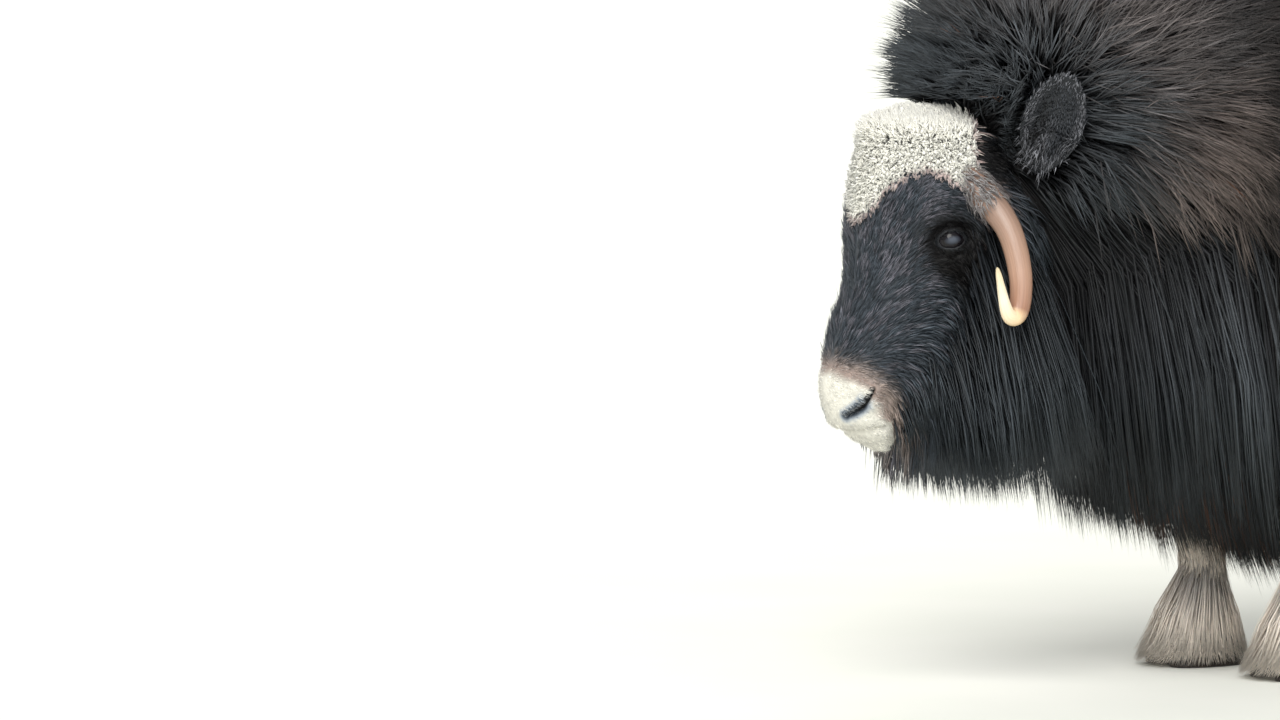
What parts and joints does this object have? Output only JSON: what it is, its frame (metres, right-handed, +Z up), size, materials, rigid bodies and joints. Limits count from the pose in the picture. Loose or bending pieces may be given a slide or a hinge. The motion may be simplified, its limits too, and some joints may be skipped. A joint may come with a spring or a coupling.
{
  "type": "muskox",
  "caption": "Standing young muskox with hooked horns, pale woolly forehead and a long dark coat that hangs as a skirt over short pale legs.",
  "frame": {"origin": "on the floor, at the centre of the box round the standing animal", "axes": "+X towards the head, +Y to the animal's left, +Z up"},
  "size_m": [1.8152, 0.5566, 1.0753],
  "materials": {
    "coat": "long silky dark brown hair",
    "face": "short blackish hair, white wool above",
    "stocking": "shaggy pale tan hair",
    "ear": "short dark hair, paler inside",
    "horn": "semi-gloss keratin",
    "hoof": "satin dark keratin",
    "eye": "wet and glossy"
  },
  "bodies": {
    "root": {"eye_left": "eye", "horn_left": "horn", "ear_left": "ear", "eye_right": "eye", "horn_right": "horn", "ear_right": "ear", "head": "face", "neck": "coat", "shoulders": "coat", "barrel": "coat", "hindquarters": "coat", "tail": "coat", "leg_front_left": "stocking", "hoof_front_left_outer": "hoof", "hoof_front_left_inner": "hoof", "leg_front_right": "stocking", "hoof_front_right_outer": "hoof", "hoof_front_right_inner": "hoof", "leg_hind_left": "stocking", "hoof_hind_left_outer": "hoof", "hoof_hind_left_inner": "hoof", "leg_hind_right": "stocking", "hoof_hind_right_outer": "hoof", "hoof_hind_right_inner": "hoof"}
  },
  "joints": []
}
